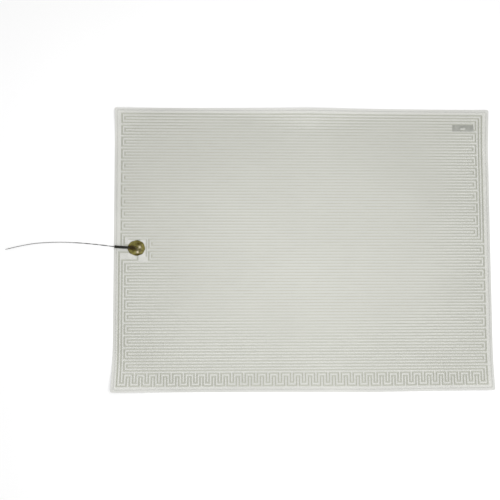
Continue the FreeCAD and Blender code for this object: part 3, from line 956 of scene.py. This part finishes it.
@dataclass
class Terminal:
    """Resin button, solder joints, sleeve and the wires inside them.

    Depths, swells and flares are shares of the radius or the height that they change. The
    powers round the sides of the button and of the solder joints.
    """

    sleeve_angle: float = math.radians(3.9)
    sleeve_length: float = 21.9 * MM
    sleeve_wall: float = 0.35 * MM
    sleeve_shrink: float = 0.955
    crease_depth: float = 0.012
    crease_length: float = 1.35 * MM
    ridge_depth: float = 0.008
    end_flare: float = 0.035
    resin_squash: float = 0.93
    corner_depth: float = 0.018
    lobe_depth: float = 0.008
    rim_swell: float = 0.10
    rim_spread: float = 0.75
    plan_power: float = 2 / 3.2
    height_power: float = 2 / 2.6
    crown: float = 0.80
    unevenness: float = 0.03
    sleeve_swell: float = 0.10
    sleeve_reach: float = 1.7 * MM
    joint_swells: tuple[tuple[str, float], ...] = (("upper_solder_joint", 0.05),
                                                   ("lower_solder_joint", 0.06))
    joint_reach: float = 1.9 * MM
    bed_reach: float = 0.985
    bed_lift: float = 0.02 * MM
    bed_height: float = 0.22 * MM
    bed_ruffle: float = 0.10 * MM
    bead_spread: float = 1.3
    bead_lean: float = 0.16 * MM
    bead_plan_power: float = 0.8
    bead_height_power: float = 1.15
    sides: int = 96
    rings: int = 26

    @property
    def sleeve_axis(self) -> Array:
        """The sleeve's direction, out towards the leads."""
        return np.array([-math.cos(self.sleeve_angle), math.sin(self.sleeve_angle), 0.0])

    @property
    def mouth(self) -> Array:
        """The middle of the sleeve's outer end."""
        return middle("heat_shrink_sleeve") + self.sleeve_axis * self.sleeve_length / 2

    def resin(self) -> None:
        """Makes the button: an uneven, faintly eight-cornered outline, wider than it is
        tall in plan, and an upright rim that rolls into a low crown, swollen over the
        sleeve and the two joints."""
        low, high = box_of("potting_dome")
        centre = (low + high) / 2
        turn = circle(self.sides)
        climb = np.linspace(0, math.pi / 2, self.rings)[:, None]
        outline = (1 - self.corner_depth * (1 - np.cos(8 * turn + 0.5))
                   - self.lobe_depth * (1 + np.sin(3 * turn + 1.1))
                   + self.rim_swell * np.exp(-((turn - math.pi) / self.rim_spread) ** 2))
        reach = (high[0] - low[0]) / 2 * outline * np.cos(climb) ** self.plan_power
        x = centre[0] + reach * np.cos(turn)
        y = centre[1] + reach * np.sin(turn) * self.resin_squash
        tall = self.crown + self.unevenness * np.sin(x / (1.9 * MM) + 0.4) * np.cos(y / (1.6 * MM))
        for node, swell in self.joint_swells:
            joint = middle(node)
            near = ((x - joint[0]) ** 2 + (y - joint[1]) ** 2) / self.joint_reach ** 2
            tall = tall + swell * np.exp(-near)
        across = ((y - self.mouth[1]) * self.sleeve_axis[0]
                  - (x - self.mouth[0]) * self.sleeve_axis[1])
        before = 1 / (1 + np.exp((x - centre[0] - 0.5 * MM) / (0.9 * MM)))
        tall = tall + self.sleeve_swell * np.exp(-(across / self.sleeve_reach) ** 2) * before
        height = (high[2] - low[2]) * tall * np.sin(climb) ** self.height_power
        mesh = dome(x, y, low[2] + height, (centre[0], centre[1], low[2]))
        piece = make_piece("resin_button", mesh, RESIN.material(), 60)
        self.mark_spots(piece)
        settle(piece, "amber_resin", "potting_dome")
        self.bed(x[0], y[0], low[2])

    def bed(self, x: Array, y: Array, level: float) -> None:
        """Makes the film of resin on the foil, a thin lens inside the button, with the button's
        painted darkening.

        Args:
            x, y: The button's foot ring.
            level: The height that the resin stands on.
        """
        share = np.linspace(self.bed_reach, 0.0, self.rings)[:, None]
        centre = np.array([x.mean(), y.mean()])
        across, along = centre[0] + (x - centre[0]) * share, centre[1] + (y - centre[1]) * share
        ruffle = np.sin(across / (0.8 * MM)) * np.sin(along / (0.9 * MM) + 1.0)
        thickness = self.bed_height + self.bed_ruffle * ruffle
        height = level + self.bed_lift + (1 - share ** 2) * thickness
        mesh = dome(across, along, height, (centre[0], centre[1], level + 0.01 * MM))
        piece = make_piece("resin_bed", mesh, RESIN_BED.material(), 60)
        self.mark_spots(piece)
        settle(piece, "amber_resin")

    def mark_spots(self, piece: Piece) -> None:
        """Marks where the resin is thin, and where it is painted darker but not thin: painted
        shade round the joints and a darker tone over the sleeve's end.

        Args:
            piece: The resin button or its bed.
        """
        places = points_of(piece)
        thin, darkened = (sum(spot.at(places) for spot in spots) for spots in (THIN, DARKENED))
        store(piece, "thin", thin)
        # painted shade round the joints and a darker tone over the sleeve's end
        store(piece, "darkening", darkened * (1 - np.clip(thin, 0, 1)))

    def solder(self, node: str, lean: float) -> None:
        """Makes one solder joint: a half ellipsoid with a lopsided, faintly lobed foot.

        Args:
            node: The joint's node in the frame.
            lean: The direction that its top leans in, in radians.
        """
        low, high = box_of(node)
        centre = (low + high) / 2
        turn = circle(40)
        climb = np.linspace(0, math.pi / 2, 14)[:, None]
        lobes = 0.93 + 0.05 * np.cos(3 * turn + lean) + 0.02 * np.cos(5 * turn)
        reach = ((high[0] - low[0]) / 2 * self.bead_spread * lobes
                 * np.cos(climb) ** self.bead_plan_power)
        leaned = self.bead_lean * np.sin(climb)
        x = centre[0] + reach * np.cos(turn) + leaned * math.cos(lean)
        y = centre[1] + reach * np.sin(turn) + leaned * math.sin(lean)
        z = low[2] + (high[2] - low[2]) * np.sin(climb) ** self.bead_height_power + 0 * turn
        piece = make_piece(f"{node}_bead", dome(x, y, z, (centre[0], centre[1], low[2])),
                           SOLDER.material(), 60)
        settle(piece, "solder", node)

    def sleeve(self) -> None:
        """Makes the heat-shrink sleeve: an outer skin with the two wires' faint ridges and
        shallow creases, flared a little at both ends, and a plain bore."""
        low, high = box_of("heat_shrink_sleeve")
        outer = float(high[2] - low[2]) / 2
        along = np.linspace(-0.5, 0.5, 90)[:, None]
        place = along * self.sleeve_length
        path = (low + high) / 2 + self.sleeve_axis * place
        turn = circle(48)
        creases = np.sin(place / self.crease_length + 2 * np.sin(turn)) * np.cos(turn) ** 2
        skin = outer * (self.sleeve_shrink + self.crease_depth * creases
                        + self.end_flare * np.abs(2 * along) ** 14
                        + self.ridge_depth * np.cos(2 * turn))
        vertices, faces = tube(path, skin, len(turn))
        bore_vertices, bore_faces = tube(path, np.full(len(path), outer - self.sleeve_wall),
                                         len(turn))
        mesh = self.hollow(vertices, faces[0], bore_vertices, bore_faces[0], len(turn))
        piece = make_piece("shrunk_sleeve", mesh, HEAT_SHRINK.material(), 50)
        settle(piece, "black_sleeve", "heat_shrink_sleeve")

    @staticmethod
    def hollow(skin: Array, skin_faces: Array, bore: Array, bore_faces: Array,
               sides: int) -> Mesh:
        """Joins an outer and an inner tube of the same rings into one walled tube.

        Args:
            skin, bore: The two tubes' points, each with its two end poles.
            skin_faces, bore_faces: Their quads, both facing outwards.
            sides: Points round each ring.

        Returns:
            The walled tube.
        """
        skin, bore = skin[:-2], bore[:-2]
        count = len(skin)
        first = np.arange(sides)
        last = first + count - sides
        ends = [np.stack([first, np.roll(first, -1), np.roll(first, -1) + count,
                          first + count], -1),
                np.stack([last + count, np.roll(last, -1) + count, np.roll(last, -1), last], -1)]
        return np.concatenate([skin, bore]), [skin_faces, bore_faces[:, ::-1] + count, *ends]

    def dress_nodes(self) -> None:
        """Gives the kept frame nodes inside the terminal their finishes."""
        finishes = {"sleeve_liner": HOT_MELT, "upper_core": INSULATION, "lower_core": INSULATION,
                    "upper_bare_end": TINNED, "lower_bare_end": TINNED}
        for node, finish in finishes.items():
            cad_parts[node].material_slots[0].material = finish.material()
            log.info("%s dressed", node)

    def build(self) -> None:
        """Builds the whole terminal."""
        self.resin()
        self.solder("upper_solder_joint", 0.6)
        self.solder("lower_solder_joint", 2.4)
        self.sleeve()
        self.dress_nodes()


# ---- the leads -------------------------------------------------------------------------
class Wire(Enum):
    """The two wires of the lead, by the side that they leave the sleeve on."""

    UPPER = 1
    LOWER = -1


# The leads' route: X and Y from the sleeve's mouth in metres, and the share of the
# sleeve's height above the resting surface that is left.
LEAD_ROUTE = (
    (-0.0060, 0.00075, 0.86),
    (-0.0166, 0.00215, 0.0),
    (-0.0328, 0.00375, 0.0),
    (-0.0460, 0.00455, 0.0),
    (-0.0572, 0.00485, 0.0),
    (-0.0708, 0.00450, 0.0),
    (-0.0834, 0.00360, 0.0),
    (-0.0948, 0.00160, 0.0),
    (-0.1036, -0.00035, 0.0),
    (-0.1106, -0.00210, 0.0),
)


@dataclass
class LeadPair:
    """Two fine wires that leave the sleeve side by side, twist twice and then ride one on
    the other, with tinned ends."""

    mouth: Array
    diameter: float = 0.4 * MM
    spacing: float = 0.52 * MM
    laid_spacing: float = 0.41 * MM
    rest_height: float = 0.22 * MM
    tip_length: float = 3.0 * MM
    conductor: float = 0.24 * MM
    twisted_stretch: float = 46 * MM
    twists: float = 2.25
    landing_rate: float = 3.4
    wander: float = 0.35
    wander_length: float = 17 * MM
    tip_spread: float = 1.4
    tip_ridge: float = 0.05
    tip_ridge_rate: float = 40.0
    samples: int = 420
    sides: int = 12

    def route(self) -> Array:
        """The pair's own line: the NURBS spline over the route's points.

        Returns:
            Evenly spaced points of the line.
        """
        curve = bpy.data.curves.new("lead_route", "CURVE")
        curve.dimensions = "3D"
        curve.resolution_u = 24
        spline = curve.splines.new("NURBS")
        height = float(self.mouth[2]) - self.rest_height
        points = [tuple(self.mouth)] + [
            (self.mouth[0] + x, self.mouth[1] + y, self.rest_height + share * height)
            for x, y, share in LEAD_ROUTE]
        spline.points.add(len(points) - 1)
        for point, place in zip(spline.points, points):
            point.co = (*place, 1.0)
        spline.order_u = 3
        spline.use_endpoint_u = True
        holder = bpy.data.objects.new("lead_route", curve)
        bpy.context.scene.collection.objects.link(holder)
        line = bpy.data.meshes.new_from_object(holder)
        places = np.empty(len(line.vertices) * 3)
        line.vertices.foreach_get("co", places)
        places = places.reshape(-1, 3)
        bpy.data.objects.remove(holder)
        bpy.data.curves.remove(curve)
        bpy.data.meshes.remove(line)
        walked = np.concatenate([[0], np.cumsum(np.linalg.norm(np.diff(places, axis=0), axis=1))])
        even = np.linspace(0, walked[-1], self.samples)
        return np.stack([np.interp(even, walked, places[:, axis]) for axis in range(3)], -1)

    def strand(self, line: Array, wire: Wire) -> Array:
        """One wire's own line: the route plus half the spacing, turned about the route by
        the twist, and raised so that the lower wire always rests where the route does.

        Args:
            line: The pair's own line.
            wire: Which wire it is.

        Returns:
            The wire's line.
        """
        along = np.gradient(line, axis=0)
        along /= np.linalg.norm(along, axis=1, keepdims=True)
        side = np.stack([along[:, 1], -along[:, 0], np.zeros(len(line))], -1)
        walked = np.linspace(0, 1, len(line)) * np.linalg.norm(
            np.diff(line, axis=0), axis=1).sum()
        share = np.clip(walked / self.twisted_stretch, 0, 1)
        turn = 2 * math.pi * self.twists * (share - np.sin(2 * math.pi * share) / (7 * math.pi))
        turn = turn + self.wander * np.sin(walked / self.wander_length) * share ** 2
        apart = (self.spacing + (self.laid_spacing - self.spacing) * share) / 2
        sway = apart * np.cos(turn) * wire.value
        resting = np.clip(self.landing_rate * share, 0, 1)
        rise = apart * (np.abs(np.sin(turn)) * resting + np.sin(turn) * wire.value)
        return line + side * -sway[:, None] + np.array([0.0, 0.0, 1.0]) * rise[:, None]

    def tip(self, strand: Array, wire: Wire) -> Piece:
        """Makes a tinned end: a fine ridged rod with a rounded nose, on from the wire.

        Args:
            strand: The wire's line.
            wire: Which wire it is.

        Returns:
            The tinned end.
        """
        heading = strand[-1] - strand[-4]
        heading = heading / np.linalg.norm(heading)
        share = np.linspace(0, 1, 24)
        path = strand[-1] + heading * (share[:, None] * self.tip_length)
        nose = np.sqrt(np.clip(1 - np.clip((share - 0.94) / 0.06, 0, 1) ** 2, 0.02, 1))
        ridges = 1 + self.tip_ridge * np.sin(share * self.tip_ridge_rate)
        mesh = tube(path, self.conductor / 2 * self.tip_spread * nose * ridges, self.sides)
        piece = make_piece(f"{wire.name.lower()}_tinned_end", mesh, TINNED.material(), 60)
        settle(piece, "tinned_copper", f"{wire.name.lower()}_tinned_tip")
        return piece

    def build(self) -> None:
        """Makes both wires and their ends."""
        line = self.route()
        for wire in Wire:
            strand = self.strand(line, wire)
            mesh = tube(strand, np.full(len(strand), self.diameter / 2), self.sides)
            piece = make_piece(f"{wire.name.lower()}_wire", mesh, INSULATION.material(), 60)
            settle(piece, "wire_insulation", f"{wire.name.lower()}_lead")
            self.tip(strand, wire)


# ---- the studio ------------------------------------------------------------------------
@dataclass
class Studio:
    """A plain pale floor, soft white light all round, and one wide soft light above."""

    floor_half: float = 3.0
    floor_level: float = -0.03 * MM
    sky_strength: float = 0.68
    lamp_size: float = 0.6
    lamp_place: tuple[float, float, float] = (0.05, -0.06, 0.8)
    lamp_power: float = 4.2
    camera_place: tuple[float, float, float] = (-0.0830, -0.0468, 0.7320)
    camera_turn: tuple[float, float, float] = (0.0615, -0.0353, -0.0024)
    lens: float = 50.0

    def floor(self) -> None:
        """Makes the floor, a flat grid just under the mat, barely uneven in its finish."""
        line = np.linspace(-self.floor_half, self.floor_half, 9)
        x, y = np.meshgrid(line, line)
        index = np.arange(x.size).reshape(x.shape)
        faces = np.stack([index[:-1, :-1], index[:-1, 1:], index[1:, 1:], index[1:, :-1]], -1)
        finish = GrainFinish("pale_floor", (0.90, 0.90, 0.90), (0.93, 0.93, 0.93), 0.85,
                             0.4, 0.02 * MM)
        vertices = np.stack([x, y, np.full_like(x, self.floor_level)], -1).reshape(-1, 3)
        make_piece("studio_floor", (vertices, [faces.reshape(-1, 4)]),
                            finish.material())

    def light(self) -> None:
        """Sets the even white surroundings and hangs the lamp over the mat."""
        world = bpy.data.worlds.new("studio")
        world.use_nodes = True
        background = world.node_tree.nodes["Background"]
        background.inputs["Color"].default_value = (1.0, 1.0, 1.0, 1.0)
        background.inputs["Strength"].default_value = self.sky_strength
        bpy.context.scene.world = world
        lamp = bpy.data.lights.new("soft_lamp", "AREA")
        lamp.shape = "DISK"
        lamp.size = self.lamp_size
        lamp.energy = self.lamp_power
        holder = bpy.data.objects.new("soft_lamp", lamp)
        holder.location = self.lamp_place
        bpy.context.scene.collection.objects.link(holder)

    def camera(self) -> None:
        """Places the camera almost straight above, a little to the left and below."""
        data = bpy.data.cameras.new("camera")
        data.lens = self.lens
        holder = bpy.data.objects.new("camera", data)
        holder.location = self.camera_place
        holder.rotation_euler = self.camera_turn
        bpy.context.scene.collection.objects.link(holder)
        bpy.context.scene.camera = holder

    def build(self) -> None:
        """Sets up the whole studio, with colours shown as they are."""
        bpy.context.scene.view_settings.view_transform = "Standard"
        self.floor()
        self.light()
        self.camera()


# ---- the whole mat ---------------------------------------------------------------------
def main() -> None:
    """Builds the mat from the films up, then its leads and the studio."""
    logging.basicConfig(level=logging.INFO, format="%(name)s: %(message)s")
    low, high = box_of("base_film")
    dome_low, dome_high = box_of("potting_dome")
    terminal = (dome_low + dome_high) / 2
    window_side = float(dome_high[0] - dome_low[0]) + 2 * DOME_CLEARANCE
    edges = np.array([-0.5, 0.5]) * window_side
    window = (terminal[0] + edges, terminal[1] + edges)
    shape = LaidShape(float(high[0]), float(high[1]), terminal)
    foil_low, foil_high = (float(corner[2]) for corner in box_of("heating_foil"))
    film_top = float(box_of("cover_film")[1][2])
    FilmSheet("base_film_sheet", ("base_adhesive", "base_film"), BASE_FILM, shape,
              float(low[2]), foil_low - LAYER_GAP, rim=2.4 * MM, rim_fade=0.1).build()
    HeatingTrack(shape, window_side).build()
    FilmSheet("cover_film_sheet", ("cover_adhesive", "cover_film"), COVER_FILM, shape,
              foil_high + LAYER_GAP, film_top, window).build()
    RatingPatch(shape).build()
    parts = Terminal()
    parts.build()
    LeadPair(parts.mouth).build()
    Studio().build()


if __name__ == "__main__":
    main()
